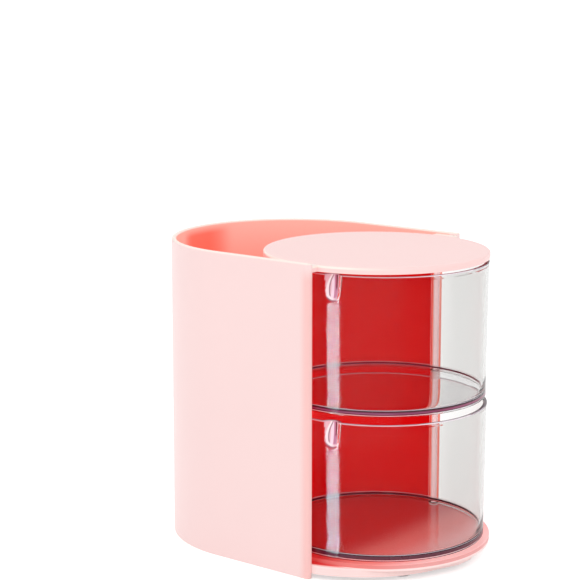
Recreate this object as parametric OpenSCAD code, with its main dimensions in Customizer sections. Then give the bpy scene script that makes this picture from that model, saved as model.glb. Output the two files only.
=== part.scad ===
// Hair accessory organizer: a round-ended bin for tall things, with two clear
// round drawers in a bay that swing out one by one on a shared upright pin.
// The drawer axis is x = 0 inside at_bay(); the table is z = 0; the flat front
// wall is on the -Y side and the pocket is on the -X side.

/* [Body] */
// Width over the two flat walls
body_w = 138; // [128:1:156]
// Distance from the drawer axis to the round end of the pocket
pocket_reach = 131.5; // [122:0.5:160]
// Height of the outer wall above the table
body_h = 171.5; // [140:0.5:220]
// Thickness of the outer wall
wall_t = 2.8; // [2.2:0.1:3.6]
// Rounding of the wall's top rim
rim_r = 1.2; // [0.5:0.1:1.3]
// Rounding of the upright end of the front wall
end_r = 2.6; // [1:0.1:2.6]
// How far the front wall runs past the drawer axis
front_end = 2.8; // [0:0.2:8]
// How far the back wall's top and bottom strips run past the drawer axis
back_end = 6; // [2:0.5:12]

/* [Base] */
// Height of the base plate's underside above the table
foot_gap = 2.8; // [2:0.1:5]
// Height of the base plate's edge
base_t = 4.8; // [4:0.1:8]
// How far the base plate's round front runs past the drawer axis
base_nose = 55; // [48:0.5:64]
// How far the flat tip stands out of the round front
tip_out = 2.4; // [1:0.1:3]
// Thickness of the round seat that the lower drawer stands on
seat_t = 2.6; // [1.2:0.1:4]
// How far the round seat stands out past a drawer's rim
seat_out = 2.5; // [1:0.1:4]
// Radius of a rubber foot
foot_r = 5; // [4:0.1:7]

/* [Cover] */
// Thickness of the cover's edge
lid_t = 3.4; // [3.4:0.1:7]
// How far the cover's top lies below the wall's rim
lid_drop = 1.5; // [1:0.1:8]
// Gap between the cover's round edge and the flat walls
lid_gap = 3.7; // [1:0.1:5]
// How far the cover's centre lies towards the pocket
lid_shift = 3.5; // [0:0.1:6]
// Rounding of the cover's top edge
lid_edge_r = 1.2; // [0.4:0.1:1.6]

/* [Bay] */
// Thickness of the curved partition between pocket and drawers
part_t = 1.8; // [1.6:0.1:3]
// How far the partition's face lies inside the cover's edge beside the walls
part_set = 0.3; // [0.2:0.1:2]

/* [Drawers] */
// Gap between the partition and a drawer's rim
drawer_gap = 1.2; // [1:0.1:3]
// How much smaller a drawer's radius is at its bottom
drawer_draft = 0.8; // [0.4:0.1:2.6]
// Thickness of a drawer's side
drawer_t = 1.7; // [1.2:0.1:2.4]
// Thickness of a drawer's floor
floor_t = 2; // [1.2:0.1:3]
// Height of the ring that a drawer's floor stands on
skirt_h = 1; // [0.6:0.1:2]
// Gap between the two drawers
mid_gap = 4.2; // [2:0.1:8]
// Gap between the upper drawer and the cover
top_gap = 1.5; // [1:0.1:4]
// Gap between the lower drawer and its seat
low_gap = 0.4; // [0.4:0.1:2]

/* [Hinge] */
// Radius of the hinge pin
pin_r = 1.6; // [1.2:0.1:2.6]
// Wall of the sleeve that each drawer turns on
sleeve_t = 1.4; // [1.2:0.1:2.6]
// Opening angle of each drawer in degrees
open_angle = 100; // [60:1:100]

/* [Finger scoop] */
// Half width of the scoop at the rim
scoop_w = 4.4; // [3.5:0.1:6]
// Depth of the scoop below the rim
scoop_h = 14.7; // [10:0.1:20]
// Direction of the scoop around the drawer in degrees
scoop_a = -81; // [-88:1:-60]

/* [Hidden] */
$fn = 96;

// Overrun of every cut
over = 1;
// Gap round a fixed piece that is set into another
fit = 0.1;
// Radial running clearance of the pin in a drawer's sleeve
run_play = 0.06;
// Radial clearance of the pin where it is held
pin_fit = 0.03;
// Axial play on each side of a washer
axial_play = 0.05;
// Clearance between an open drawer and the end of the back wall
swing_gap = 0.9;

// Outer shell
half_w = body_w / 2;
end_x = half_w - pocket_reach;
rim_limit_share = 0.45;
end_limit_share = 0.93;
wall_rim_r = min(rim_r, wall_t * rim_limit_share);
wall_end_r = min(end_r, wall_t * end_limit_share);
bay_h_top = body_h - lid_drop;

// Levels
plate_top = foot_gap + base_t;
seat_top = plate_top + seat_t;
lid_z = bay_h_top - lid_t;
drawer_z = seat_top + low_gap;
drawer_h = (lid_z - drawer_z - mid_gap - top_gap) / 2;
upper_z = drawer_z + drawer_h + mid_gap;

// Radii about the drawer axis
lid_r = half_w - wall_t - lid_gap;
part_out_r = sqrt(pow(lid_r, 2) - pow(lid_shift, 2)) - part_set;
part_r = part_out_r - part_t;
drawer_r = part_r - drawer_gap;
seat_r = drawer_r + seat_out;
bottom_r = drawer_r - drawer_draft;

// The whole part is centred over its own bounding box
bay_x = (pocket_reach - seat_r) / 2;

// Hinge: the sleeve stays just inside the drawer's narrow bottom
sleeve_r = pin_r + run_play + sleeve_t;
sleeve_set = 0.3;
hinge_y = bottom_r - sleeve_r - sleeve_set;
sleeve_web_share = 0.92;
sleeve_web = 2 * sleeve_web_share * sleeve_r;
washer_r = sleeve_r - sleeve_set;
pin_head_t = 1.6;
pin_head_r = pin_r + pin_head_t;
pin_head_h = 1.5;
plug_h = 0.8;
plug_depth = 0.9;
pin_head_z = foot_gap + plug_depth;
pin_seat_z = pin_head_z + pin_head_h;
pin_boss_t = 2.2;
pin_boss_r = pin_head_r + pin_boss_t;
// Cover left over the top of the pin
pin_cap_t = 1;
pin_blind = lid_t - pin_cap_t;
pin_top = lid_z + pin_blind - fit;

// The back wall stops behind the path of a fully open drawer
window_back = drawer_r - hinge_y * sin(open_angle) + swing_gap;
// The partition's front end stands this far behind the drawer axis
front_jamb = 3;

// Cover
lid_skin = 1.8;
lid_rim = 3;
// How far the ring on the partition runs inside the partition's face
lid_lap = 1;
tongue_t = 0.8;
tongue_h = 1.2;
lid_rib_t = 1.6;
lid_rib_h = 1.2;
lid_ribs = 4;
web_lap = 4;
lid_edge_share = 0.4;
lid_edge = min(lid_edge_r, lid_t * lid_edge_share);

// Base plate
nose_a = 20;
skin_t = 2;
skirt_t = 2.2;
rib_t = 1.6;
rib_step = 28;
foot_sink = 0.8;
foot_wall = 1.4;
foot_nose_in = 19;
foot_side_in = 39;
foot_end_in = 23.5;
foot_end_side = 18;

// Screws and the towers that they bite into
screw_r = 1.05;
pilot_r = 1.1;
screw_pass_r = 1.6;
screw_len = 12;
head_r = 2.6;
head_h = 1.6;
head_sink = 0.4;
drive_r = 1.3;
drive_h = 0.9;
// Base plate left between a screw head's hole and the plate's edge
head_edge = 1.1;
// How far a tower runs into its wall
tower_sink = 0.6;
tower_r = head_r + head_edge + 2 * fit + tower_sink;
tower_h = 14;
tower_wall = 2.1;
tower_a = 125;
end_tower_a = 140;

// Drawer details
rim_h = 2;
rim_in = 0.5;
floor_bevel = 1.6;
scoop_t = 1.5;
// The scoop's middle is a little above the rim, on the drawer's widest circle
scoop_lift = 0.4;
scoop_steps = 8;

// Where the screws and the feet sit, as [x, y] on the -Y side and mirrored
part_tower = (part_out_r + tower_r - tower_sink) * [cos(tower_a), sin(tower_a)];
end_tower_c = half_w - wall_t - tower_r + tower_sink;
end_tower = [end_x, 0] + end_tower_c * [cos(end_tower_a), sin(end_tower_a)];
foot_right = [base_nose - foot_nose_in, half_w - foot_side_in];
foot_left = [foot_end_in - pocket_reach, foot_end_side];

module at_bay() {
    translate([bay_x, 0, 0]) children();
}

// As drawn, and mirrored to the other side of the long axis
module both_sides() {
    for (side = [0, 1])
        mirror([0, side, 0]) children();
}

// Cross-section of the outer wall with a rounded rim, inner face at x = 0
module wall_profile() {
    square([wall_t, body_h - wall_rim_r]);
    translate([wall_rim_r, 0]) square([wall_t - 2 * wall_rim_r, body_h]);
    translate([wall_rim_r, body_h - wall_rim_r]) circle(r = wall_rim_r);
    translate([wall_t - wall_rim_r, body_h - wall_rim_r]) circle(r = wall_rim_r);
}

// Straight wall from the round end to x = past, with its lower y at y0
module flat_wall(y0, past) {
    translate([end_x, y0, 0]) rotate([90, 0, 90])
        linear_extrude(past - end_x) wall_profile();
}

// Quarter that is taken off an outer corner to leave it round
module corner_cut(r) {
    difference() {
        translate([0, -r - over]) square([r + over, r + over]);
        circle(r = r);
    }
}

module tower(x, y, h) {
    translate([x, y, plate_top]) cylinder(r = tower_r, h = h);
}

module pilot(x, y) {
    translate([x, y, plate_top - over]) cylinder(r = pilot_r, h = screw_len + over);
}

module outer_shell() {
    color("#fcdcd8") at_bay() difference() {
        union() {
            translate([end_x, 0, 0]) rotate([0, 0, 90])
                rotate_extrude(angle = 180) translate([half_w - wall_t, 0]) wall_profile();
            flat_wall(-half_w, front_end);
            flat_wall(half_w - wall_t, back_end);
            both_sides() tower(end_tower.x, end_tower.y, tower_h);
        }
        // Opening in the back wall that the drawers swing through
        translate([-window_back, half_w - wall_t - over, plate_top])
            cube([window_back + back_end + over, wall_t + 2 * over, lid_z - plate_top]);
        translate([front_end - wall_end_r, wall_end_r - half_w, -over])
            linear_extrude(body_h + 2 * over) corner_cut(wall_end_r);
        both_sides() pilot(end_tower.x, end_tower.y);
    }
}

// The open side of the bay in plan, that much further than the jambs
module open_side(past = 0) {
    translate([past - front_jamb, -half_w]) square([body_w, half_w + over]);
    translate([past - window_back, 0]) square([body_w, half_w]);
}

// The part of a ring about the drawer axis that stands on the pocket's side
module pocket_side_ring(r_in, r_out) {
    difference() {
        circle(r = r_out);
        circle(r = r_in);
        translate([-front_jamb, -half_w]) square([body_w, half_w]);
        translate([-window_back, 0]) square([body_w, half_w]);
    }
}

module bay_partition() {
    wall_h = lid_z - plate_top;
    tongue_r = part_r + (part_t - tongue_t) / 2;
    // The jambs beside the flat walls start halfway through the curved wall
    jamb_y = part_r + part_t / 2;
    jamb_w = half_w - wall_t - fit - jamb_y;
    color("#f7c0bb") at_bay() difference() {
        union() {
            translate([0, 0, plate_top]) linear_extrude(wall_h) {
                pocket_side_ring(part_r, part_out_r);
                translate([-window_back - part_t, jamb_y]) square([part_t, jamb_w]);
                translate([-front_jamb - part_t, -jamb_y - jamb_w]) square([part_t, jamb_w]);
            }
            translate([0, 0, lid_z - tongue_h]) linear_extrude(2 * tongue_h)
                pocket_side_ring(tongue_r, tongue_r + tongue_t);
            both_sides() tower(part_tower.x, part_tower.y, tower_h);
        }
        both_sides() pilot(part_tower.x, part_tower.y);
    }
}

// Outline of the base plate, drawn in by inset
module base_outline(inset = 0) {
    inner_w = half_w - wall_t - fit - inset;
    nose_x = base_nose - half_w;
    translate([end_x, 0]) circle(r = inner_w);
    translate([end_x, -inner_w]) square([nose_x - end_x, 2 * inner_w]);
    intersection() {
        translate([nose_x, 0]) circle(r = half_w - inset);
        translate([nose_x, -inner_w]) square([half_w, 2 * inner_w]);
    }
    // Flat tip between two tangents of the round front
    arc_r = half_w - inset;
    tip_x = base_nose + tip_out - inset;
    tip_y = (arc_r - (tip_x - nose_x) * cos(nose_a)) / sin(nose_a);
    side_x = nose_x + arc_r * cos(nose_a);
    side_y = arc_r * sin(nose_a);
    polygon([[side_x, -side_y], [tip_x, -tip_y], [tip_x, tip_y], [side_x, side_y]]);
}

// Round boss on the underside of the base plate
module base_boss(x, y, r) {
    translate([x, y, foot_gap]) cylinder(r = r, h = base_t - skin_t / 2);
}

module screw_hole(x, y) {
    translate([x, y, foot_gap - over]) {
        cylinder(r = screw_pass_r, h = base_t + 2 * over);
        cylinder(r = head_r + fit, h = over + head_sink + head_h);
    }
}

module foot_hole(x, y) {
    translate([x, y, foot_gap - over]) cylinder(r = foot_r + fit, h = over + foot_sink);
}

module base_plate() {
    color("#f9cfca") at_bay() difference() {
        union() {
            translate([0, 0, plate_top - skin_t]) linear_extrude(skin_t) base_outline();
            translate([0, 0, foot_gap]) linear_extrude(base_t - skin_t) difference() {
                base_outline();
                base_outline(skirt_t);
            }
            // Stiffening ribs
            translate([0, 0, foot_gap]) linear_extrude(base_t - skin_t) intersection() {
                base_outline(skirt_t / 2);
                union() {
                    for (x = [end_x - rib_step : rib_step : base_nose - rib_step])
                        translate([x, -half_w]) square([rib_t, body_w]);
                    translate([-pocket_reach, -rib_t / 2])
                        square([pocket_reach + base_nose, rib_t]);
                }
            }
            // Round seat of the lower drawer, set back inside the partition
            translate([0, 0, plate_top - skin_t / 2]) linear_extrude(seat_t + skin_t / 2) {
                circle(r = part_r - 2 * fit);
                intersection() {
                    circle(r = seat_r);
                    open_side(fit);
                }
            }
            both_sides() {
                base_boss(part_tower.x, part_tower.y, head_r + tower_wall);
                intersection() {
                    base_boss(end_tower.x, end_tower.y, head_r + tower_wall);
                    translate([0, 0, foot_gap]) linear_extrude(base_t) base_outline();
                }
                base_boss(foot_right.x, foot_right.y, foot_r + foot_wall);
                base_boss(foot_left.x, foot_left.y, foot_r + foot_wall);
            }
            base_boss(0, hinge_y, pin_boss_r);
        }
        both_sides() {
            screw_hole(part_tower.x, part_tower.y);
            screw_hole(end_tower.x, end_tower.y);
            foot_hole(foot_right.x, foot_right.y);
            foot_hole(foot_left.x, foot_left.y);
        }
        translate([0, hinge_y, foot_gap - over]) {
            cylinder(r = pin_r + pin_fit, h = base_t + seat_t + 2 * over);
            cylinder(r = pin_head_r + fit, h = pin_seat_z - foot_gap + over);
        }
    }
}

module top_cover() {
    groove_r = part_r + (part_t - tongue_t) / 2 - fit;
    web_w = half_w - wall_t - fit;
    web_y = part_r - web_lap;
    color("#fddfdb") at_bay() difference() {
        union() {
            translate([-lid_shift, 0, lid_z]) rotate_extrude() {
                translate([0, lid_t - lid_skin]) square([lid_r - lid_edge, lid_skin]);
                translate([lid_r - lid_rim, 0]) square([lid_rim - lid_edge, lid_t]);
                translate([lid_r - lid_rim, 0]) square([lid_rim, lid_t - lid_edge]);
                translate([lid_r - lid_edge, lid_t - lid_edge]) circle(r = lid_edge);
            }
            // Ring that sits on the partition
            translate([0, 0, lid_z]) linear_extrude(lid_t - lid_skin / 2)
                pocket_side_ring(part_r - lid_lap, part_out_r);
            // Webs that close the bay beside the flat walls
            translate([-front_jamb - part_t, -web_w, lid_z])
                cube([front_jamb + part_t + front_end, web_w - web_y, lid_t]);
            translate([-window_back - part_t, web_y, lid_z])
                cube([window_back + part_t + back_end, web_w - web_y, lid_t]);
            // Ribs under the skin
            translate([-lid_shift, 0, lid_z + lid_t - lid_skin - lid_rib_h]) for (i = [0 : lid_ribs - 1])
                rotate([0, 0, 180 * i / lid_ribs]) translate([-lid_r + lid_rim / 2, -lid_rib_t / 2, 0])
                    cube([2 * lid_r - lid_rim, lid_rib_t, lid_rib_h + lid_skin / 2]);
            translate([0, hinge_y, lid_z]) cylinder(r = pin_boss_r, h = lid_t - lid_skin / 2);
        }
        translate([0, 0, lid_z - over]) linear_extrude(over + tongue_h + fit)
            pocket_side_ring(groove_r, groove_r + tongue_t + 2 * fit);
        translate([0, hinge_y, lid_z - over]) cylinder(r = pin_r + pin_fit, h = pin_blind + over);
    }
}

// Solid that a drawer's outside fills
module drawer_envelope() {
    cylinder(r1 = bottom_r, r2 = drawer_r, h = drawer_h);
}

// Space inside a drawer, with a bevel at the floor and a thicker rim
module drawer_hollow() {
    floor_z = skirt_h + floor_t;
    in_bottom = bottom_r - drawer_t;
    in_top = drawer_r - drawer_t;
    rotate_extrude() polygon([
        [0, floor_z],
        [in_bottom - floor_bevel, floor_z],
        [in_bottom, floor_z + floor_bevel],
        [in_top, drawer_h - rim_h - rim_in],
        [in_top - rim_in, drawer_h - rim_h],
        [in_top - rim_in, drawer_h + over],
        [0, drawer_h + over]
    ]);
}

// Revolved blunt arch that hangs through the rim, w wide each way and h deep:
// its half width at a depth d is w times the fourth root of 1 - (d / h)^2
module scoop_body(w, h, top) {
    rotate([0, 0, scoop_a]) translate([drawer_r, 0, drawer_h + scoop_lift])
        rotate_extrude() polygon(concat(
            [for (i = [0 : scoop_steps])
                [w * sqrt(sin(90 * i / scoop_steps)), -h * cos(90 * i / scoop_steps)]],
            [[w, top], [0, top]]
        ));
}

module drawer(z) {
    color("#e6e4e8", 0.35) at_bay() translate([0, 0, z]) difference() {
        union() {
            difference() {
                drawer_envelope();
                drawer_hollow();
                translate([0, 0, -over]) cylinder(r = bottom_r - drawer_t, h = skirt_h + over);
            }
            intersection() {
                drawer_envelope();
                union() {
                    translate([0, hinge_y, 0]) cylinder(r = sleeve_r, h = drawer_h);
                    translate([-sleeve_web / 2, hinge_y, 0])
                        cube([sleeve_web, drawer_r - hinge_y, drawer_h]);
                    scoop_body(scoop_w + scoop_t, scoop_h + scoop_t + scoop_lift, 0);
                }
            }
        }
        scoop_body(scoop_w, scoop_h + scoop_lift, over);
        translate([0, hinge_y, -over]) cylinder(r = pin_r + run_play, h = drawer_h + 2 * over);
    }
}

module lower_drawer() {
    drawer(drawer_z);
}

module upper_drawer() {
    drawer(upper_z);
}

module hinge_pin() {
    color("#e6e4e8", 0.6) at_bay() translate([0, hinge_y, 0]) {
        translate([0, 0, pin_head_z]) cylinder(r = pin_head_r, h = pin_head_h);
        translate([0, 0, pin_head_z]) cylinder(r = pin_r, h = pin_top - pin_head_z);
    }
}

module hinge_plug() {
    color("#f9cfca") at_bay() translate([0, hinge_y, foot_gap])
        cylinder(r = pin_head_r + fit / 2, h = plug_h);
}

// Loose ring on the pin that fills a gap but for its axial play
module pin_ring(z, gap) {
    color("white") at_bay() translate([0, hinge_y, z + axial_play]) difference() {
        cylinder(r = washer_r, h = gap - 2 * axial_play);
        translate([0, 0, -over]) cylinder(r = pin_r + run_play, h = gap + 2 * over);
    }
}

module lower_washer() {
    pin_ring(seat_top, low_gap);
}

module middle_spacer() {
    pin_ring(drawer_z + drawer_h, mid_gap);
}

module upper_washer() {
    pin_ring(upper_z + drawer_h, top_gap);
}

module screw(x, y) {
    translate([x, y, foot_gap + head_sink]) difference() {
        union() {
            cylinder(r = head_r, h = head_h);
            cylinder(r = screw_r, h = head_h + screw_len - fit);
        }
        translate([0, 0, -over]) cylinder(r = drive_r, h = drive_h + over, $fn = 6);
    }
}

module base_screws() {
    color("silver") at_bay() both_sides() {
        screw(part_tower.x, part_tower.y);
        screw(end_tower.x, end_tower.y);
    }
}

module foot(x, y) {
    color("#d8d4d4") at_bay() translate([x, y, 0]) cylinder(r = foot_r, h = foot_gap + foot_sink);
}

module foot_left_front() {
    foot(foot_left.x, -foot_left.y);
}

module foot_left_back() {
    foot(foot_left.x, foot_left.y);
}

module foot_right_front() {
    foot(foot_right.x, -foot_right.y);
}

module foot_right_back() {
    foot(foot_right.x, foot_right.y);
}

outer_shell();
bay_partition();
base_plate();
top_cover();
lower_drawer();
upper_drawer();
hinge_pin();
hinge_plug();
lower_washer();
middle_spacer();
upper_washer();
base_screws();
foot_left_front();
foot_left_back();
foot_right_front();
foot_right_back();
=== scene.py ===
# %% [markdown]
# # A hair accessory organizer with two clear swing-out drawers
#
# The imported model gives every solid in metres, standing on z = 0. This file
# dresses those solids: it sets up the camera and the light, makes the finishes,
# and builds the pieces whose curves deserve a finer surface than the solids have.

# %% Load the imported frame
import bmesh
import bpy
import math
import numpy as np
from mathutils import Euler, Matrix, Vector


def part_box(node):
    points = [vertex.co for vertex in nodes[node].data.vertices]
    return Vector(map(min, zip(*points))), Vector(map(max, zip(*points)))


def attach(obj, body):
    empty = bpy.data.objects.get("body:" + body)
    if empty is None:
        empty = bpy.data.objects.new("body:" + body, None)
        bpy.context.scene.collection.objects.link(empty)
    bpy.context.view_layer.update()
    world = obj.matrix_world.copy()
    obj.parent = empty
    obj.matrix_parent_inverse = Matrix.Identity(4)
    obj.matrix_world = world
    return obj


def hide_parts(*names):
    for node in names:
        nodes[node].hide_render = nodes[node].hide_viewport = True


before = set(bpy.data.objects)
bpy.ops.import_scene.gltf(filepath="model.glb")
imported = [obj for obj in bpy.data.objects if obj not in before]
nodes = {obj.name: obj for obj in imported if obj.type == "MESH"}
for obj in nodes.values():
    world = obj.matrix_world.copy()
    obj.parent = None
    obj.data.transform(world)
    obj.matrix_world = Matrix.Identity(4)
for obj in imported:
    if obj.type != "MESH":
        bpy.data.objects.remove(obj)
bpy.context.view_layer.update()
mm = 0.001
print("nodes:", ", ".join(sorted(nodes)))

# %% [markdown]
# ## Sizes that the pieces share
#
# The real moulding is one family of circles about the drawers' upright axis, and
# one half circle at the pocket's end. The places are read from the boxes of the
# solids, so that a piece lands on its seat without any fitting. A box doesn't
# show a wall's thickness or a curved wall's radius, so those are given here.

# %% Read the shared sizes
shell_low, shell_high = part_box("outer_shell")
cover_low, cover_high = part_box("top_cover")
_, plate_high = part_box("base_plate")
lower_low, lower_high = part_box("lower_drawer")
upper_low, upper_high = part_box("upper_drawer")
pin_low, pin_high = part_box("hinge_pin")

wall_thick = 2.8 * mm
half_width = shell_high.y
pocket_end = shell_low.x + half_width
drawer_radius = (lower_high.y - lower_low.y) / 2
drawer_axis = Vector((lower_high.x - drawer_radius, 0, 0))
cover_radius = 62.5 * mm
cover_axis = Vector((cover_high.x - cover_radius, 0, 0))
partition_in, partition_out = 60.2 * mm, 62.0 * mm
plate_top = 7.6 * mm
# How far the tip of the base plate's round nose lies past the drawers' axis
nose_reach = 55 * mm
hinge_y = (pin_low.y + pin_high.y) / 2
scoop_angle = math.radians(-81)
print("drawer axis x:", round(drawer_axis.x / mm, 2), "mm; drawer radius:", round(drawer_radius / mm, 2), "mm")
print("cover centre x:", round(cover_axis.x / mm, 2), "mm; pocket centre x:", round(pocket_end / mm, 2), "mm")


# %% [markdown]
# ## The camera
#
# A product picture is usually taken from some distance with a long lens, a little
# above the object. The place and the lens below come from fitting the outlines of
# these solids to the photograph. A small shift keeps the object in the frame.

# %% Camera
def add_object(name, data):
    """A new object of the scene that holds a mesh, a camera or a light."""
    thing = bpy.data.objects.new(name, data)
    bpy.context.scene.collection.objects.link(thing)
    return thing


picture_size = 580
focal_pixels = 1809.6
degrees_down, degrees_round = 9.789, 38.342
camera_data = bpy.data.cameras.new("product_camera")
camera_data.sensor_width = 36
camera_data.lens = focal_pixels / picture_size * camera_data.sensor_width
camera_data.shift_y = -0.05
camera_data.clip_start, camera_data.clip_end = 0.05, 30
camera = add_object("product_camera", camera_data)
camera.location = (604.1 * mm, -800.9 * mm, 332.8 * mm)
camera.rotation_euler = Euler((math.radians(90 - degrees_down), 0, math.radians(degrees_round)))
bpy.context.scene.camera = camera
print("lens:", round(camera_data.lens, 1), "mm")


# %% [markdown]
# ## Helpers for materials
#
# A finish is a Principled shader with a few nodes in front of it. The helpers
# below write one node or one small sum each, so that a finish reads as a list of
# places and tones.

# %% Colours and materials
def linear(red, green, blue):
    """Scene-linear colour of an sRGB colour given as 0 to 255: below 0.04045 the
    value is divided by 12.92, and above it is ((value + 0.055) / 1.055) ** 2.4."""
    value = np.array([red, green, blue]) / 255
    value = np.where(value <= 0.04045, value / 12.92, ((value + 0.055) / 1.055) ** 2.4)
    return (*value.tolist(), 1.0)


def scaled(colour, factor, most=1.0):
    """A colour with each part times a factor, but not above the most given."""
    return tuple(min(part * factor, most) for part in colour[:3]) + (1.0,)


def new_material(name):
    """A material with an empty node tree, its Principled shader and its output."""
    material = bpy.data.materials.new(name)
    material.use_nodes = True
    tree = material.node_tree
    tree.nodes.clear()
    shader = tree.nodes.new("ShaderNodeBsdfPrincipled")
    output = tree.nodes.new("ShaderNodeOutputMaterial")
    tree.links.new(shader.outputs["BSDF"], output.inputs["Surface"])
    return material, tree, shader, output


def feed(tree, socket, value):
    """Gives an input its value: a socket is linked, anything else is written in."""
    if isinstance(value, bpy.types.NodeSocket):
        tree.links.new(value, socket)
    else:
        socket.default_value = value


# %% Arithmetic
def math_node(tree, operation, *values):
    """One arithmetic node with its one or two values."""
    node = tree.nodes.new("ShaderNodeMath")
    node.operation = operation
    for socket, value in zip(node.inputs, values):
        feed(tree, socket, value)
    return node.outputs[0]


def multiply(tree, first, *others):
    """Product of two or more values."""
    for other in others:
        first = math_node(tree, "MULTIPLY", first, other)
    return first


def add(tree, first, second):
    """Sum of two values."""
    return math_node(tree, "ADD", first, second)


def subtract(tree, first, second):
    """First value less the second."""
    return math_node(tree, "SUBTRACT", first, second)


def larger(tree, first, second):
    """The larger of two values."""
    return math_node(tree, "MAXIMUM", first, second)


def rest_of(tree, share):
    """What a share leaves of the whole: 1 less the share."""
    return subtract(tree, 1.0, share)


def length_of(tree, first, second):
    """Length of two sides at a right angle: the root of the sum of their squares."""
    return math_node(tree, "SQRT", add(tree, multiply(tree, first, first), multiply(tree, second, second)))


# %% Masks, mixes and places
def ramp_between(tree, value, low, high, smooth=True):
    """0 at low and before it, 1 at high and beyond it, and a smooth step between
    them. With low above high it falls instead."""
    node = tree.nodes.new("ShaderNodeMapRange")
    node.interpolation_type = "SMOOTHSTEP" if smooth else "LINEAR"
    node.inputs["From Min"].default_value = low
    node.inputs["From Max"].default_value = high
    tree.links.new(value, node.inputs["Value"])
    return node.outputs["Result"]


def band(tree, value, low, high, soft):
    """1 between two places and 0 elsewhere, with edges as wide as soft."""
    return multiply(tree, ramp_between(tree, value, low - soft / 2, low + soft / 2),
                    ramp_between(tree, value, high + soft / 2, high - soft / 2))


def mix_colours(tree, share, first, second):
    """First colour where share is 0 and second where it is 1."""
    node = tree.nodes.new("ShaderNodeMix")
    node.data_type = "RGBA"
    for name, value in (("Factor", share), ("A", first), ("B", second)):
        feed(tree, next(s for s in node.inputs if s.name == name and s.enabled), value)
    return next(s for s in node.outputs if s.enabled)


def object_place(tree):
    """Object coordinates in metres, as a vector and as x, y and z."""
    where = tree.nodes.new("ShaderNodeTexCoord")
    split = tree.nodes.new("ShaderNodeSeparateXYZ")
    tree.links.new(where.outputs["Object"], split.inputs[0])
    return where.outputs["Object"], split.outputs[0], split.outputs[1], split.outputs[2]


def distance_from(tree, x, y, centre_x):
    """Level distance of a point from an upright axis in the plane y = 0."""
    return length_of(tree, subtract(tree, x, centre_x), y)


def noise(tree, place, scale, detail=2):
    """Soft noise from 0 to 1, with about scale blobs in a metre."""
    node = tree.nodes.new("ShaderNodeTexNoise")
    node.inputs["Scale"].default_value = scale
    node.inputs["Detail"].default_value = detail
    tree.links.new(place, node.inputs["Vector"])
    return node.outputs["Fac"]


def turned_away(tree):
    """How far a surface turns away from the view: 0 flat on and 1 edge on."""
    node = tree.nodes.new("ShaderNodeLayerWeight")
    node.inputs["Blend"].default_value = 0.5
    return node.outputs["Facing"]


# %% Groups
def new_group(name, inputs, outputs):
    """A node group with named sockets, given as (name, kind, value)."""
    group = bpy.data.node_groups.new(name, "ShaderNodeTree")
    for label, kind, value in inputs:
        socket = group.interface.new_socket(label, in_out="INPUT", socket_type=kind)
        socket.default_value = value
    for label, kind in outputs:
        group.interface.new_socket(label, in_out="OUTPUT", socket_type=kind)
    return group, group.nodes.new("NodeGroupInput"), group.nodes.new("NodeGroupOutput")


def place_group(tree, group, **values):
    """One use of a group, with a value for each input that is named."""
    node = tree.nodes.new("ShaderNodeGroup")
    node.node_tree = group
    for label, value in values.items():
        feed(tree, node.inputs[label], value)
    return node


# %% [markdown]
# ### Moulded plastic
#
# Injection moulded plastic is never quite even: the colour drifts by a percent or
# two where the melt cooled, the gloss is a little duller in places, and the skin
# has a very fine waviness. Nearly every finish here has this, so it is a node
# group. It gives those three as a colour, a roughness and a height, each from
# soft noise in Object coordinates.

# %% Group: moulded plastic
cloud_scale, wave_scale, speck_scale = 14, 90, 420
dull_range, wave_height, speck_height = 0.12, 0.6, 0.12
moulded, moulded_in, moulded_out = new_group(
    "moulded_plastic",
    [("Colour", "NodeSocketColor", (1, 1, 1, 1)), ("Drift", "NodeSocketFloat", 0.03), ("Gloss", "NodeSocketFloat", 0.35)],
    [("Colour", "NodeSocketColor"), ("Roughness", "NodeSocketFloat"), ("Height", "NodeSocketFloat")])
moulded_place = object_place(moulded)[0]
clouds = noise(moulded, moulded_place, cloud_scale)
specks = noise(moulded, moulded_place, speck_scale, 3)
waves = noise(moulded, moulded_place, wave_scale, 1)

shade = add(moulded, multiply(moulded, subtract(moulded, clouds, 0.5), moulded_in.outputs["Drift"]), 1.0)
drifted = moulded.nodes.new("ShaderNodeVectorMath")
drifted.operation = "SCALE"
moulded.links.new(moulded_in.outputs["Colour"], drifted.inputs[0])
moulded.links.new(shade, drifted.inputs["Scale"])
moulded.links.new(drifted.outputs[0], moulded_out.inputs["Colour"])

dull = multiply(moulded, subtract(moulded, specks, 0.5), dull_range)
moulded.links.new(add(moulded, dull, moulded_in.outputs["Gloss"]), moulded_out.inputs["Roughness"])
skin = add(moulded, multiply(moulded, waves, wave_height), multiply(moulded, specks, speck_height))
moulded.links.new(skin, moulded_out.inputs["Height"])
print("group:", moulded.name, "with", len(moulded.nodes), "nodes")


# %% [markdown]
# ### Using the group
#
# A finish passes its colour and gloss through the group, and solid plastic also
# takes the group's height as a very small bump. A painted glow, a faint emission of
# a surface's own colour, stands in for light that a thin wall lets through from
# its far side.

# %% Finish helpers
def uneven(tree, shader, colour, gloss, drift):
    """Passes a colour and a gloss through the moulded group into the shader."""
    group = place_group(tree, moulded, Colour=colour, Gloss=gloss, Drift=drift)
    tree.links.new(group.outputs["Colour"], shader.inputs["Base Color"])
    tree.links.new(group.outputs["Roughness"], shader.inputs["Roughness"])
    return group


def finish_plastic(tree, shader, colour, gloss=0.36, drift=0.03, bump=0.02):
    """Solid moulded plastic: uneven colour and gloss, and a fine bump."""
    group = uneven(tree, shader, colour, gloss, drift)
    relief = tree.nodes.new("ShaderNodeBump")
    relief.inputs["Strength"].default_value = bump
    relief.inputs["Distance"].default_value = 0.3 * mm
    tree.links.new(group.outputs["Height"], relief.inputs["Height"])
    tree.links.new(relief.outputs[0], shader.inputs["Normal"])
    shader.inputs["IOR"].default_value = 1.46


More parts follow.
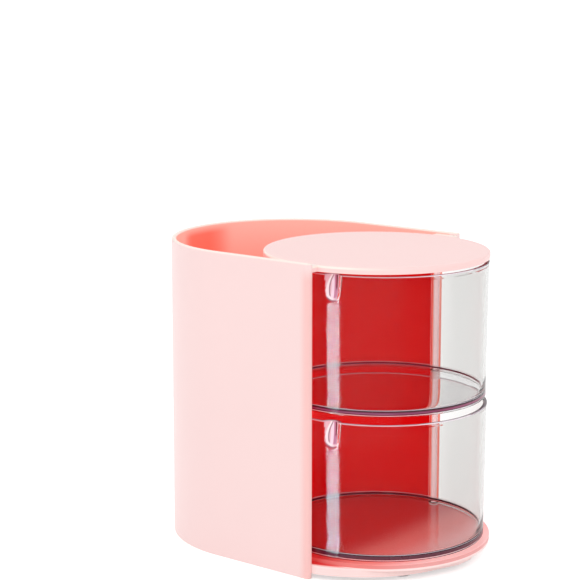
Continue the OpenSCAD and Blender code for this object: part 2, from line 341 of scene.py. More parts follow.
def painted_glow(tree, shader, share, colour, level):
    """Painted light: a faint glow of the colour given where share is 1, standing in for
    light that a thin wall lets through from its far side."""
    black = (0.0, 0.0, 0.0, 1.0)
    tree.links.new(mix_colours(tree, share, black, colour), shader.inputs["Emission Color"])
    shader.inputs["Emission Strength"].default_value = level


# %% [markdown]
# ## The pink finish
#
# All the pink pieces are one plastic. The tones that differ are painted light and
# shade: a pale highlight painted on the rims, painted shade that turns the pocket
# salmon with depth, and painted shade that makes the bay behind the clear drawers a
# deep coral red. Masks worked out from Object coordinates place those tones, so
# that they stay put from every side.

# %% Tones of the pink plastic
# Blush, the cover's blush and the jamb's blush are the plastic's own tones. The lip's lighter blush is a lit copy,
# painted light; the pale rim tone is a painted highlight; rosy, salmon, the corals, the bay's red and the seat's tones
# are painted shade; and the glow levels are painted light.
blush, lid_blush = linear(250, 220, 218), linear(254, 216, 213)
lit_lip_blush, jamb_blush = linear(254, 227, 224), linear(252, 214, 216)
rosy, highlight_cream = linear(250, 200, 196), linear(255, 240, 231)
salmon, coral, deep_coral = linear(251, 174, 162), linear(249, 130, 113), linear(246, 96, 76)
bay_red = linear(240, 14, 20)
seat_red, seat_coral = linear(216, 50, 52), linear(244, 136, 130)
seat_pink, seat_side = linear(246, 190, 188), linear(214, 116, 112)
shell_glow, partition_glow, seat_glow = 0.33, 0.56, 0.27


# %% Outer wall
def pink_shell():
    """Outer wall: blush outside, painted shade from salmon to coral inside, and a pale
    painted highlight along the rim.
    """
    material, tree, shader, _ = new_material("pink_shell_plastic")
    _, x, y, z = object_place(tree)
    # How far out a point lies: along y on the straight part, and along the radius
    # round the pocket's end
    along = math_node(tree, "MINIMUM", subtract(tree, x, pocket_end), 0)
    inside = ramp_between(tree, length_of(tree, along, y), half_width - 0.5 * wall_thick, half_width - 0.7 * wall_thick)
    end = ramp_between(tree, x, drawer_axis.x + 0.2 * mm, drawer_axis.x + 1.4 * mm)
    # Painted highlight: a pale line along the top of the rim
    rim = ramp_between(tree, z, shell_high.z - 1.1 * mm, shell_high.z - 0.3 * mm)
    inside = multiply(tree, inside, rest_of(tree, larger(tree, end, rim)))
    depth = subtract(tree, shell_high.z, z)
    # Painted shade: the pocket's inside turns from salmon to coral with depth
    inner = mix_colours(tree, ramp_between(tree, depth, 0, 75 * mm, smooth=False), salmon, coral)
    # At the round end the walls shade each other, and the colour deepens sooner
    shaded = multiply(tree, ramp_between(tree, x, pocket_end - 61.6 * mm, pocket_end - 65.2 * mm),
                      ramp_between(tree, y, 30 * mm, 2 * mm), ramp_between(tree, depth, 0.5 * mm, 6 * mm), 0.85)
    inner = mix_colours(tree, shaded, inner, deep_coral)
    # The wall's front edge is rounded and turns away from the light
    edge = multiply(tree, ramp_between(tree, x, drawer_axis.x - 4.2 * mm, drawer_axis.x + 1.6 * mm),
                    ramp_between(tree, depth, 2 * mm, 10 * mm))
    colour = mix_colours(tree, inside, mix_colours(tree, edge, blush, rosy), inner)
    finish_plastic(tree, shader, mix_colours(tree, rim, colour, highlight_cream))
    # Painted light: the inside glows faintly in its painted tones
    painted_glow(tree, shader, inside, inner, shell_glow)
    return material


# %% Partition
def pink_partition():
    """Curved partition: painted shade, deep red on the drawers' side and coral on the
    pocket's.
    """
    material, tree, shader, _ = new_material("pink_partition_plastic")
    _, x, y, _ = object_place(tree)
    reach = distance_from(tree, x, y, drawer_axis.x)
    pocket_side = ramp_between(tree, reach, partition_in + 0.8 * mm, partition_in + 1.3 * mm)
    colour = mix_colours(tree, pocket_side, bay_red, coral)
    # The two flat strips that close the partition against the outer wall
    jamb = multiply(tree, ramp_between(tree, reach, partition_out - 0.2 * mm, partition_out + 0.4 * mm),
                    ramp_between(tree, x, drawer_axis.x - 9 * mm, drawer_axis.x - 7.5 * mm))
    colour = mix_colours(tree, jamb, colour, jamb_blush)
    finish_plastic(tree, shader, colour, drift=0.08)
    # Nearly matt, so that the room doesn't lie as a white veil over the red
    shader.inputs["Specular IOR Level"].default_value = 0.06
    # Painted glow: the most near the front wall and the least at the bay's back. The
    # pocket's side lies between them, and the strips glow a little less
    back_share, pocket_share, jamb_loss = 0.27, 0.755, 0.25
    front = larger(tree, multiply(tree, pocket_side, pocket_share), ramp_between(tree, y, 22 * mm, 8 * mm))
    share = add(tree, multiply(tree, front, 1 - back_share), back_share)
    share = multiply(tree, share, rest_of(tree, multiply(tree, jamb, jamb_loss)))
    painted_glow(tree, shader, share, colour, partition_glow)
    return material


# %% Base plate
def pink_base():
    """Base plate: painted shade from red to pink on the seat under the drawers and
    coral in the pocket, and a lighter blush of painted light along its nose and below."""
    material, tree, shader, _ = new_material("pink_base_plastic")
    _, x, y, z = object_place(tree)
    # Painted shade: the seat gets paler towards the drawers' open side
    near = ramp_between(tree, x, drawer_axis.x + 2 * mm, drawer_axis.x + 26 * mm)
    far = ramp_between(tree, x, drawer_axis.x + 26 * mm, drawer_axis.x + 56 * mm)
    seat = mix_colours(tree, far, mix_colours(tree, near, seat_red, seat_coral), seat_pink)
    # Painted shade on the side of the seat
    side = band(tree, z, plate_top + 0.3 * mm, plate_high.z - 0.2 * mm, 0.2 * mm)
    seat = mix_colours(tree, multiply(tree, side, 0.45), seat, seat_side)
    # Painted shade: behind the partition the plate is the pocket's coral floor
    from_axis = distance_from(tree, x, y, drawer_axis.x)
    in_pocket = multiply(tree, ramp_between(tree, from_axis, partition_in + 0.4 * mm, partition_in + 0.8 * mm),
                         ramp_between(tree, x, drawer_axis.x - 2 * mm, drawer_axis.x - 6 * mm))
    seat = mix_colours(tree, in_pocket, seat, coral)
    # Painted light: the nose's top edge and the plate's side take a lighter, lit blush
    from_nose = distance_from(tree, x, y, drawer_axis.x + nose_reach - half_width)
    lip = multiply(tree, ramp_between(tree, from_nose, half_width - 2.6 * mm, half_width - 1.4 * mm),
                   ramp_between(tree, z, plate_top + 0.4 * mm, plate_top + 0.1 * mm), rest_of(tree, in_pocket))
    below = ramp_between(tree, z, plate_top - 0.4 * mm, plate_top - 1.0 * mm)
    colour = mix_colours(tree, larger(tree, lip, below), seat, lit_lip_blush)
    finish_plastic(tree, shader, colour)
    # Painted glow: the seat's top glows most towards the drawers' open side, as if lit
    # through the clear floor that stands on it
    lit = multiply(tree, ramp_between(tree, z, plate_high.z - 0.3 * mm, plate_high.z - 0.1 * mm),
                   ramp_between(tree, x, drawer_axis.x + 8 * mm, drawer_axis.x + 44 * mm))
    least_lit = 0.28
    lit = add(tree, multiply(tree, lit, 1 - least_lit), least_lit)
    painted_glow(tree, shader, multiply(tree, lit, rest_of(tree, below)), colour, seat_glow)
    return material


# %% Cover
def pink_cover():
    """Cover: blush on top, and painted shade in red on the underside that closes the
    bay.
    """
    material, tree, shader, _ = new_material("pink_cover_plastic")
    _, x, y, z = object_place(tree)
    reach = distance_from(tree, x, y, cover_axis.x)
    under = multiply(tree, ramp_between(tree, z, cover_low.z + 2.2 * mm, cover_low.z + 1.6 * mm),
                     ramp_between(tree, reach, cover_radius - 0.7 * mm, cover_radius - 1.2 * mm))
    # Painted highlight: the rim's creamy line fades towards the drawers' open side
    rim = multiply(tree, ramp_between(tree, reach, cover_radius - 1.3 * mm, cover_radius - 0.5 * mm),
                   ramp_between(tree, z, cover_high.z - 1.5 * mm, cover_high.z - 0.9 * mm),
                   ramp_between(tree, x, drawer_axis.x + 46 * mm, drawer_axis.x + 12 * mm))
    colour = mix_colours(tree, rim, lid_blush, highlight_cream)
    finish_plastic(tree, shader, mix_colours(tree, under, colour, bay_red))
    return material


# %% [markdown]
# ## Clear plastic
#
# The drawers are clear styrene. Flat on it hardly tints what is behind it, and at
# a slant it greys it a little. Painted shade deepens that grey where a cup's outside
# is seen edge on, and the plum line at the floor's edge is painted shade too. Light
# that only passes through on its way to the bay takes a plain transparent path, so
# that the bay isn't left dark.

# %% Clear plastic
def clear_plastic(name, index, colour):
    """Glass-like shader with a low index, because the walls are thin and even."""
    material, tree, shader, output = new_material(name)
    turned = turned_away(tree)
    # Painted shade: only the outside of a cup's wall turns a deeper grey, where it is
    # seen edge on
    _, x, y, _ = object_place(tree)
    reach = distance_from(tree, x, y, drawer_axis.x)
    outside = ramp_between(tree, reach, drawer_radius - 1.4 * mm, drawer_radius - 1.2 * mm)
    glancing = multiply(tree, ramp_between(tree, turned, 0.68, 0.84), outside)
    # Flat on, the light's way through the wall is shortest and the tint is least
    flat_on = ramp_between(tree, turned, 0.26, 0.08)
    lighter, deeper = scaled(colour, 1.13, 0.98), scaled(colour, 0.6)
    tint = mix_colours(tree, glancing, mix_colours(tree, flat_on, colour, lighter), deeper)
    group = place_group(tree, moulded, Colour=tint, Gloss=0.06, Drift=0.02)
    tree.links.new(group.outputs["Colour"], shader.inputs["Base Color"])
    shader.inputs["Roughness"].default_value = 0.0
    shader.inputs["Transmission Weight"].default_value = 1.0
    shader.inputs["IOR"].default_value = index
    passing = tree.nodes.new("ShaderNodeBsdfTransparent")
    passing.inputs["Color"].default_value = (0.97, 0.97, 0.97, 1)
    ray = tree.nodes.new("ShaderNodeLightPath")
    blend = tree.nodes.new("ShaderNodeMixShader")
    tree.links.new(larger(tree, ray.outputs["Is Shadow Ray"], ray.outputs["Is Diffuse Ray"]), blend.inputs[0])
    tree.links.new(shader.outputs["BSDF"], blend.inputs[1])
    tree.links.new(passing.outputs[0], blend.inputs[2])
    tree.links.new(blend.outputs[0], output.inputs["Surface"])
    return material


def rim_plastic():
    """The rounded rim of a clear cup: pale and hazy where it is seen flat on, a painted
    highlight, and a dark line of painted shade where it is seen edge on."""
    material, tree, shader, _ = new_material("clear_rim_plastic")
    cloud = noise(tree, object_place(tree)[0], 120)
    edge_on = ramp_between(tree, turned_away(tree), 0.6, 0.76)
    uneven(tree, shader, mix_colours(tree, edge_on, linear(242, 228, 242), linear(84, 68, 82)), 0.2, 0.06)
    cover = add(tree, multiply(tree, cloud, 0.16), 0.56)
    tree.links.new(add(tree, cover, multiply(tree, edge_on, 0.2)), shader.inputs["Alpha"])
    return material


# %% [markdown]
# ### The scoop and the floor's edge
#
# Thick bent plastic bends the light on, so the hollow of the finger scoop shows
# streaks that a plain clear wall doesn't have. Here they are painted highlights
# and painted shade, placed by how far a point lies to the right of the scoop's
# middle and how deep it lies below the rim.

# %% Scoop and floor edge
def scoop_plastic():
    """The hollow of the finger scoop: painted white and lilac highlights run down it
    beside a painted dark right edge, and its half-round end has a painted white
    highlight and a grey line of painted shade."""
    material, tree, shader, _ = new_material("scoop_plastic_painted_streaks")
    place, x, y, z = object_place(tree)
    bend_depth, end_height, end_half = 8 * mm, 6.4 * mm, 4.3 * mm
    streak_curve, streak_left, soft = 33, 3.3 * mm, 0.35 * mm
    # How far to the right of the scoop's middle a point lies
    across = subtract(tree, multiply(tree, y, math.cos(scoop_angle)),
                      multiply(tree, subtract(tree, x, drawer_axis.x), math.sin(scoop_angle)))
    on_lower = ramp_between(tree, z, upper_low.z - 0.1 * mm, upper_low.z - 0.2 * mm)
    top = add(tree, multiply(tree, on_lower, lower_high.z - upper_high.z), upper_high.z)
    depth = subtract(tree, top, z)
    # The streaks follow an arc that is furthest left at the bend's depth: the
    # depth from there, squared, times the curve
    from_bend = subtract(tree, depth, bend_depth)
    arc = subtract(tree, multiply(tree, from_bend, from_bend, streak_curve), streak_left)
    wave = noise(tree, place, 150)
    wander = multiply(tree, subtract(tree, wave, 0.5), 0.5 * mm)
    bend = subtract(tree, add(tree, across, wander), arc)
    # The hollow ends in a half round: below the bend's depth its width closes as
    # an ellipse's does, and the reach is 1 on that ellipse
    lower_part = larger(tree, math_node(tree, "DIVIDE", from_bend, end_height), 0)
    reach = length_of(tree, math_node(tree, "DIVIDE", across, end_half), lower_part)
    colour = linear(240, 200, 210)
    # Painted highlights in white and lilac, and painted shade in purple, grey and dark red
    for share, tone in (
            (band(tree, across, -1.7 * mm, -0.1 * mm, soft), linear(250, 234, 248)),
            (band(tree, across, -0.1 * mm, 1.9 * mm, soft), linear(206, 150, 184)),
            (band(tree, bend, -0.45 * mm, 0.45 * mm, soft), linear(255, 250, 252)),
            (band(tree, bend, 0.5 * mm, 1.0 * mm, soft), linear(158, 128, 140)),
            (multiply(tree, band(tree, across, 0.9 * mm, 2.0 * mm, soft),
                      ramp_between(tree, depth, 9 * mm, 7 * mm)), linear(104, 14, 40)),
            (multiply(tree, band(tree, reach, 0.78, 0.95, 0.08),
                      ramp_between(tree, depth, 8 * mm, 10 * mm)), linear(255, 246, 250)),
            (multiply(tree, band(tree, reach, 0.95, 1.1, 0.06),
                      ramp_between(tree, depth, 7 * mm, 9 * mm)), linear(150, 116, 132))):
        colour = mix_colours(tree, share, colour, tone)
    # Painted glow on the left streaks
    painted_glow(tree, shader, band(tree, across, -3.9 * mm, -0.1 * mm, soft), colour, 0.12)
    uneven(tree, shader, colour, 0.2, 0.06)
    cover = add(tree, multiply(tree, wave, 0.2), 0.8)
    tree.links.new(multiply(tree, cover, ramp_between(tree, reach, 1.08, 0.98)), shader.inputs["Alpha"])
    return material


def plum_edge():
    """The floor's edge, a line of painted shade in dark plum; on the upper cup a paler,
    streaked line of painted light shows in its middle."""
    material, tree, shader, _ = new_material("plum_floor_edge")
    place, _, _, z = object_place(tree)
    core = band(tree, subtract(tree, z, upper_low.z), 1.6 * mm, 2.4 * mm, 0.2 * mm)
    streaks = noise(tree, place, 30)
    pale = mix_colours(tree, ramp_between(tree, streaks, 0.35, 0.7), linear(134, 38, 84), linear(152, 66, 108))
    tree.links.new(mix_colours(tree, core, linear(84, 16, 44), pale), shader.inputs["Base Color"])
    tree.links.new(add(tree, multiply(tree, streaks, 0.2), 0.15), shader.inputs["Roughness"])
    return material


# %% [markdown]
# ## Small fittings
#
# The screws are plated steel, the washers are white nylon, the feet are pale
# rubber, and the pin is a clear rod. They are small and mostly hidden, but each
# still has its own grain: fine turning lines on the steel, and a matt, slightly
# dusty rubber.

# %% Steel, nylon and rubber
def plated_steel():
    """Steel with fine lines round its own upright axis."""
    material, tree, shader, _ = new_material("plated_steel")
    stretch = tree.nodes.new("ShaderNodeMapping")
    stretch.inputs["Scale"].default_value = (1, 1, 40)
    tree.links.new(object_place(tree)[0], stretch.inputs["Vector"])
    lines = noise(tree, stretch.outputs[0], 60, 3)
    tree.links.new(mix_colours(tree, lines, linear(196, 198, 202), linear(226, 227, 230)), shader.inputs["Base Color"])
    tree.links.new(add(tree, multiply(tree, lines, 0.18), 0.16), shader.inputs["Roughness"])
    shader.inputs["Metallic"].default_value = 1.0
    return material


def plain_plastic(name, colour, gloss, bump):
    """One colour of plastic or rubber with the moulded unevenness."""
    material, tree, shader, _ = new_material(name)
    finish_plastic(tree, shader, colour, gloss=gloss, drift=0.06, bump=bump)
    return material


# %% [markdown]
# ### Dress the solids
#
# Every solid but the two drawers keeps its own mesh and takes its finish here.

# %% Dress the solids
white_nylon = plain_plastic("white_nylon", linear(238, 237, 236), 0.45, 0.03)
foot_rubber = plain_plastic("foot_rubber_grey", linear(206, 200, 200), 0.8, 0.08)
finishes = {
    "outer_shell": pink_shell(),
    "bay_partition": pink_partition(),
    "base_plate": pink_base(),
    "top_cover": pink_cover(),
    "hinge_pin": clear_plastic("clear_rod", 1.08, linear(244, 244, 244)),
    "base_screws": plated_steel(),
    "hinge_plug": plain_plastic("pink_plug_plastic", blush, 0.4, 0.02),
    "lower_washer": white_nylon,
    "middle_spacer": white_nylon,
    "upper_washer": white_nylon,
    "foot_left_front": foot_rubber,
    "foot_left_back": foot_rubber,
    "foot_right_front": foot_rubber,
    "foot_right_back": foot_rubber,
}
for name, material in finishes.items():
    nodes[name].data.materials.clear()
    nodes[name].data.materials.append(material)
print("finishes:", len(set(finishes.values())), "on", len(finishes), "solids")


# %% [markdown]
# ## The clear drawers
#
# Each drawer is a round moulded cup with a finger scoop in its rim and a sleeve
# that turns on the pin. A turned profile could be spun, but the scoop needs the
# radius to change round the cup, so the cup is one grid: rows follow the profile
# from the middle of the floor, out, up the inside, over the rim and down the
# outside, and columns go round, closer together where the scoop is.

# %% Grid helpers
def grid_faces(rows, columns):
    """Quads of a grid that closes on itself from the last column to the first."""
    index = np.arange(rows * columns).reshape(rows, columns)
    right = np.roll(index, -1, axis=1)
    quads = np.stack([index[:-1], right[:-1], right[1:], index[1:]], axis=-1)
    return quads.reshape(-1, 4)


def outward(points, faces):
    """Faces turned so that the closed shape's volume, the sum of each triangle's
    corner a dot (b cross c) over six, comes out positive."""
    a, b, c, d = (points[faces[:, k]] for k in range(4))
    volume = np.einsum("ij,ij->i", a, np.cross(b, c)).sum() + np.einsum("ij,ij->i", a, np.cross(c, d)).sum()
    return faces if volume > 0 else faces[:, ::-1]


def make_piece(name, parts, materials, body, replaced):
    """One mesh object from closed grids, given as (points, material of each face).
    The first and last row of a grid that meets the axis are drawn to one point
    and merged, so that no pole is left open."""
    points, faces, kinds, start = [], [], [], 0
    for grid, face_material in parts:
        rows, columns, _ = grid.shape
        flat = grid.reshape(-1, 3)
        points.append(flat)
        faces.append(outward(flat, grid_faces(rows, columns)) + start)
        kinds.append(face_material.reshape(-1))
        start += len(flat)
    points, faces, kinds = np.concatenate(points), np.concatenate(faces), np.concatenate(kinds)
    mesh = bpy.data.meshes.new(name)
    mesh.from_pydata(points.tolist(), [], faces.tolist())
    mesh.polygons.foreach_set("material_index", kinds.astype(np.int32))
    for material in materials:
        mesh.materials.append(material)
    merged = bmesh.new()
    merged.from_mesh(mesh)
    bmesh.ops.remove_doubles(merged, verts=merged.verts, dist=1e-7)
    bmesh.ops.dissolve_degenerate(merged, dist=1e-8, edges=merged.edges)
    merged.to_mesh(mesh)
    merged.free()
    mesh.shade_smooth()
    mesh.set_sharp_from_angle(angle=math.radians(40))
    piece = add_object(name, mesh)
    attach(piece, body)
    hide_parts(*replaced)
    print(name + ":", len(mesh.polygons), "faces")


# %% [markdown]
# ### Sizes of a drawer
#
# The wall leans out by 0.8 mm over its height, so that the cup leaves its mould.
# Rows and columns lie closer where the scoop is pressed in, and near the foot
# where the plum edge and the pale lines above and below it begin and end.

# %% Sizes of a drawer
cup_height = upper_high.z - upper_low.z
cup_top, cup_bottom = drawer_radius, drawer_radius - 0.8 * mm
cup_wall, cup_floor, cup_skirt = 1.7 * mm, 2.0 * mm, 1.0 * mm
rim_step, rim_depth, edge_round = 0.5 * mm, 2.0 * mm, 0.45 * mm
bowl_round, foot_round = 1.6 * mm, 0.35 * mm
floor_rings = np.array([20, 45]) * mm
scoop_half, scoop_depth, scoop_wall, scoop_lift = 4.4 * mm, 14.7 * mm, 1.5 * mm, 0.4 * mm
scoop_rows, scoop_blend = 17.5 * mm, 0.3 * mm
plum_low, plum_high = 1.1 * mm, 3.05 * mm
lower_line, upper_line = (0.65 * mm, 0.95 * mm), (3.45 * mm, 3.8 * mm)
sleeve_out, sleeve_in = 3.06 * mm, 1.66 * mm
fine = np.radians(np.arange(-8, 8, 0.2)) + scoop_angle
coarse = np.linspace(fine[-1], fine[0] + 2 * math.pi, 232)[1:-1]
turn = np.concatenate([fine, coarse])
print("columns round a cup:", len(turn))


# %% [markdown]
# ### The cup's profile and scoop
#
# The profile gives the radius and height of every row, the same all round. The
# scoop then takes the wall's radius in where it is pressed, on both sides of the
# wall, so that the wall keeps its thickness there.

# %% The cup
def corner(r, z, radius, start, end, count=5):
    """Points of a rounded corner: a circle's arc between two angles in degrees."""
    a = np.radians(np.linspace(start, end, count))
    return np.stack([r + radius * np.cos(a), z + radius * np.sin(a)], axis=1)


def level_rows(radii, height):
    """Points of a level stretch of the profile at the radii given."""
    return np.stack([radii, np.full(len(radii), height)], axis=1)


def cup_profile():
    """Rows of a cup as radius, height and how far each lies to the inside (1)
    or outside (0) of the wall, from the floor's middle round to its underside."""
    floor_top = cup_skirt + cup_floor
    lean = (cup_top - cup_bottom) / cup_height
    ring_in = cup_bottom - cup_wall
    # Up the inside: floor, rounded bowl, wall, and the step below the rim
    up = np.concatenate([np.linspace(floor_top + bowl_round, cup_height - scoop_rows - 0.5 * mm, 8),
                         np.linspace(cup_height - scoop_rows, cup_height - rim_depth - rim_step, 34)])
    lip_r = cup_top - cup_wall - rim_step
    inside = np.concatenate([level_rows([0, *floor_rings], floor_top),
                             corner(ring_in - bowl_round, floor_top + bowl_round, bowl_round, -90, -5, 7),
                             np.stack([ring_in + lean * up, up], axis=1),
                             [[lip_r, cup_height - rim_depth]],
                             corner(lip_r + edge_round, cup_height - edge_round, edge_round, 180, 90)])
    # Down the outside: rim, wall, plum edge, foot, the ring's inside, underside
    foot_rows = [upper_line[1], upper_line[0], plum_high, 2.4 * mm, 1.7 * mm, plum_low,
                 lower_line[1], lower_line[0], foot_round]
    down = np.concatenate([np.linspace(cup_height - edge_round, cup_height - scoop_rows, 36)[1:],
                           np.linspace(cup_height - scoop_rows - 0.5 * mm, 5 * mm, 8), foot_rows])
    outside = np.concatenate([corner(cup_top - edge_round, cup_height - edge_round, edge_round, 90, 0),
                              np.stack([cup_bottom + lean * down, down], axis=1),
                              corner(cup_bottom - foot_round, foot_round, foot_round, -20, -90, 4),
                              [[ring_in + 0.2 * mm, 0], [ring_in, 0.2 * mm]],
                              level_rows([ring_in, *floor_rings[::-1], 0], cup_skirt)])
    rows = np.concatenate([inside, outside])
    side = np.concatenate([np.ones(len(inside)), np.zeros(len(outside))])
    return rows[:, 0], rows[:, 1], side


def soft_minimum(a, b, reach):
    """The smaller of two values, with the corner between them rounded: the
    minimum less reach / 4 times the square of how close they are."""
    near = np.maximum(reach - np.abs(a - b), 0) / reach
    return np.minimum(a, b) - near * near * reach / 4


def scooped(radius, height, side):
    """Radius of each grid point with the scoop pressed in. The hollow is a blunt
    arch turned about an upright axis on the rim's outer circle: at a depth d
    below its middle its half width is w times the fourth root of 1 - (d / D)^2."""
    across = cup_top * (turn - scoop_angle)[None, :]
    depth = (cup_height + scoop_lift - height)[:, None]
    grow = scoop_wall * side[:, None]
    half = (scoop_half + grow) * np.clip(1 - (depth / (scoop_depth + scoop_lift + grow)) ** 2, 0, 1) ** 0.25
    # Only the wall near the rim is pressed in, not the floor
    near_rim = (radius[:, None] > cup_top - 8 * mm) & (depth < 20 * mm)
    hollow = cup_top - np.sqrt(np.clip(half ** 2 - across ** 2, 0, None))
    wall = np.broadcast_to(radius[:, None], hollow.shape)
    return np.where((half > np.abs(across)) & near_rim, soft_minimum(wall, hollow, scoop_blend), wall)


# %% [markdown]
# ### The faces' materials and the two drawers
#
# A face takes its finish from where it lies: the floor is a little clearer than
# the wall, the floor's edge is a plum line of painted shade between two pale lines
# of painted highlight, the rim is a pale painted highlight, and the outside of the
# scoop has its painted streaks.

# %% Face materials and the drawers
cup_materials = [
    clear_plastic("clear_styrene", 1.145, linear(225, 225, 224)),
    plum_edge(),
    rim_plastic(),
    scoop_plastic(),
    clear_plastic("clear_sleeve", 1.03, linear(252, 252, 252)),
    clear_plastic("clear_floor", 1.16, linear(238, 237, 238)),
]
clear_face, plum_face, pale_face, scoop_face, sleeve_face, floor_face = range(len(cup_materials))


def cup_faces(radius, height, side, reach):
    """Material of each face of a cup, by where it lies on the profile and whether
    the scoop is pressed in there."""
    middle = (height[:-1] + height[1:]) / 2
    outer = (side[:-1] == 0) & (radius[:-1] > cup_bottom - 0.1 * mm)
    below_rim = middle < cup_height - edge_round
    kind = np.full((len(middle), len(turn)), clear_face)
    kind[np.minimum(radius[:-1], radius[1:]) < cup_bottom - cup_wall - 1.2 * mm] = floor_face
    kind[outer & (middle > plum_low) & (middle < plum_high)] = plum_face
    for line_low, line_high in (lower_line, upper_line):
        kind[outer & (middle > line_low) & (middle < line_high)] = pale_face
    kind[(middle > cup_height - edge_round) & (radius[:-1] > cup_top - 3 * mm)] = pale_face
    pressed = np.broadcast_to(radius[:, None], reach.shape) - reach > 0.1 * mm
    kind[(outer & below_rim)[:, None] & pressed[:-1]] = scoop_face
    return kind


def ring_points(centre_x, centre_y, radii, heights, angles):
    """Grid points round an upright axis, from radii by row or by row and column."""
    return np.stack([centre_x + radii * np.cos(angles), centre_y + radii * np.sin(angles),
                     np.broadcast_to(heights[:, None], (len(heights), len(angles)))], axis=-1)


def clear_drawer(name, body, bottom_z, node):
    """Cup and sleeve of one drawer, in place."""
    radius, height, side = cup_profile()
    reach = scooped(radius, height, side)
    cup = ring_points(drawer_axis.x, 0, reach, bottom_z + height, turn)
    sleeve_r = np.array([sleeve_in, sleeve_out, sleeve_out, sleeve_in, sleeve_in])
    sleeve_top = cup_height - 0.1 * mm
    sleeve_z = np.array([cup_skirt, cup_skirt, sleeve_top, sleeve_top, cup_skirt])
    around = np.linspace(0, 2 * math.pi, 48, endpoint=False)
    sleeve = ring_points(drawer_axis.x, hinge_y, sleeve_r[:, None], bottom_z + sleeve_z, around)
    sleeve_kind = np.full((len(sleeve_r) - 1, len(around)), sleeve_face)
    make_piece(name, [(cup, cup_faces(radius, height, side, reach)), (sleeve, sleeve_kind)],
               cup_materials, body, [node])


clear_drawer("upper_clear_cup", "upper_drawer", upper_low.z, "upper_drawer")
clear_drawer("lower_clear_cup", "lower_drawer", lower_low.z, "lower_drawer")


# %% [markdown]
# ## Floor, backdrop and light
#
# The object stands on a white sweep in even studio light: a bright surround, one
# large soft light from the front left and a weaker one from the right. The floor
# looks white to the camera and in reflections, but it still takes the shadow.

# %% Floor
def seen_directly(tree):
    """1 for the rays that show a surface to the camera, in a reflection or
    through glass, and 0 for the rays that only carry light."""
    ray = tree.nodes.new("ShaderNodeLightPath")
    return larger(tree, ray.outputs["Is Camera Ray"],
                  larger(tree, ray.outputs["Is Glossy Ray"], ray.outputs["Is Transmission Ray"]))


floor_size, floor_z, floor_lift = 12.0, -0.1 * mm, 0.5
floor_mesh = bpy.data.meshes.new("studio_floor")
floor_mesh.from_pydata([(x * floor_size, y * floor_size, floor_z) for x, y in ((-1, -1), (1, -1), (1, 1), (-1, 1))],
                       [], [(0, 1, 2, 3)])
floor = add_object("studio_floor", floor_mesh)
floor_material, floor_tree, floor_shader, floor_output = new_material("white_sweep")
floor_shader.inputs["Base Color"].default_value = (0.86, 0.86, 0.86, 1)
floor_shader.inputs["Roughness"].default_value = 0.9
floor_shader.inputs["Specular IOR Level"].default_value = 0.0
lift = floor_tree.nodes.new("ShaderNodeEmission")
floor_tree.links.new(multiply(floor_tree, seen_directly(floor_tree), floor_lift), lift.inputs["Strength"])
floor_sum = floor_tree.nodes.new("ShaderNodeAddShader")
floor_tree.links.new(floor_shader.outputs["BSDF"], floor_sum.inputs[0])
floor_tree.links.new(lift.outputs[0], floor_sum.inputs[1])
floor_tree.links.new(floor_sum.outputs[0], floor_output.inputs["Surface"])
floor_mesh.materials.append(floor_material)
print("floor:", 2 * floor_size, "m across")

# %% World and lights
surround_level = 0.9
world = bpy.data.worlds.new("studio_surround")
bpy.context.scene.world = world
world.use_nodes = True
surround = world.node_tree
surround.nodes.clear()
world_output = surround.nodes.new("ShaderNodeOutputWorld")
glow = surround.nodes.new("ShaderNodeBackground")
glow.inputs["Color"].default_value = (1, 1, 1, 1)
extra = multiply(surround, seen_directly(surround), 1 - surround_level)
surround.links.new(add(surround, extra, surround_level), glow.inputs["Strength"])
surround.links.new(glow.outputs[0], world_output.inputs["Surface"])


def soft_light(name, place, aim, width, height, watts):
    """Rectangular light at a place, turned to face the point that it aims at."""
    data = bpy.data.lights.new(name, "AREA")
    data.shape = "RECTANGLE"
    data.size, data.size_y = width, height
    data.energy = watts
    lamp = add_object(name, data)
    lamp.location = place
    lamp.rotation_euler = (Vector(aim) - Vector(place)).to_track_quat("-Z", "Y").to_euler()


lit_point = (0, 0, 0.08)
soft_light("front_softbox", (-0.2, -1.6, 0.9), lit_point, 1.2, 1.2, 4.2)
soft_light("right_softbox", (1.4, -0.5, 0.8), lit_point, 0.8, 1.2, 3)

# %% [markdown]
# ### Reflector strip
#
# A strip lies on the floor in front of the drawers, and only their clear walls
# see it. It gives the soft upright band that a long light leaves on a round clear
# cup. It fans out from the drawers, because a round wall spreads what it
# reflects, and its edges fade.

# %% Reflector strip
strip_place, strip_out, strip_z = math.radians(-81.9), 60 * mm, 0.5 * mm
strip_length, strip_heading, strip_fan = 0.9, math.radians(-111), math.radians(12.5)
strip_half, strip_cross, strip_level = 6.55 * mm, math.radians(-17), 90.0
rows, columns = np.meshgrid(np.linspace(0.0, 1.0, 12), np.linspace(-1.0, 1.0, 9), indexing="ij")
away, heading, sideways = strip_length * rows ** 2, strip_heading + strip_fan * columns, strip_half * columns
strip_x = drawer_axis.x + strip_out * math.cos(strip_place) + away * np.cos(heading) + sideways * math.cos(strip_cross)
strip_y = strip_out * math.sin(strip_place) + away * np.sin(heading) + sideways * math.sin(strip_cross)
strip_points = np.stack([strip_x, strip_y, np.full(rows.shape, strip_z)], axis=-1).reshape(-1, 3)
index = np.arange(rows.size).reshape(rows.shape)
strip_faces = np.stack([index[:-1, :-1], index[1:, :-1], index[1:, 1:], index[:-1, 1:]], axis=-1).reshape(-1, 4)
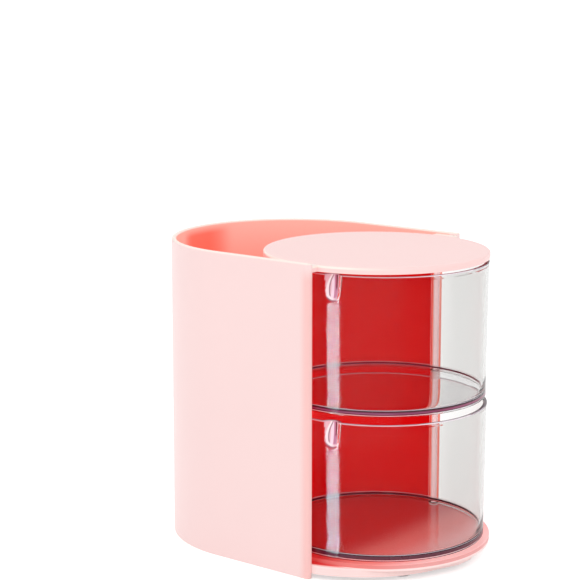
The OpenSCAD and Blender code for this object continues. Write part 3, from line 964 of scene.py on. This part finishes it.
strip_mesh = bpy.data.meshes.new("reflector_strip")
strip_mesh.from_pydata(strip_points.tolist(), [], strip_faces.tolist())
across_map = strip_mesh.attributes.new("across", "FLOAT", "POINT")
across_map.data.foreach_set("value", columns.astype(np.float32).reshape(-1))
strip = add_object("reflector_strip", strip_mesh)
print("strip:", len(strip_faces), "faces")

# %% Glow of the strip
strip_material, strip_tree, strip_shader, strip_output = new_material("reflector_glow")
strip_tree.nodes.remove(strip_shader)
place_across = strip_tree.nodes.new("ShaderNodeAttribute")
place_across.attribute_name = "across"
profile = multiply(strip_tree, ramp_between(strip_tree, place_across.outputs["Fac"], -1.0, -0.9),
                   ramp_between(strip_tree, place_across.outputs["Fac"], 1.0, 0.82))
strip_glow = strip_tree.nodes.new("ShaderNodeEmission")
strip_glow.inputs["Color"].default_value = (0.45, 0.9, 1.0, 1)
strip_tree.links.new(multiply(strip_tree, profile, strip_level), strip_glow.inputs["Strength"])
strip_ray = strip_tree.nodes.new("ShaderNodeLightPath")
sharp_glossy = multiply(strip_tree, strip_ray.outputs["Is Singular Ray"], strip_ray.outputs["Is Glossy Ray"])
strip_clear = strip_tree.nodes.new("ShaderNodeBsdfTransparent")
strip_blend = strip_tree.nodes.new("ShaderNodeMixShader")
strip_tree.links.new(multiply(strip_tree, sharp_glossy, profile), strip_blend.inputs[0])
strip_tree.links.new(strip_clear.outputs[0], strip_blend.inputs[1])
strip_tree.links.new(strip_glow.outputs[0], strip_blend.inputs[2])
strip_tree.links.new(strip_blend.outputs[0], strip_output.inputs["Surface"])
strip_mesh.materials.append(strip_material)
print("strip's material:", strip_material.name)

# %% [markdown]
# ### Render settings
#
# The plain view transform keeps the tones as they are worked out above. Light
# passes many clear surfaces on its way through both cups, so it may go on for
# many bounces.

# %% Render settings
scene = bpy.context.scene
scene.view_settings.view_transform = "Standard"
scene.cycles.max_bounces = 20
scene.cycles.transmission_bounces = 20
scene.cycles.transparent_max_bounces = 16
print("bounces:", scene.cycles.max_bounces)
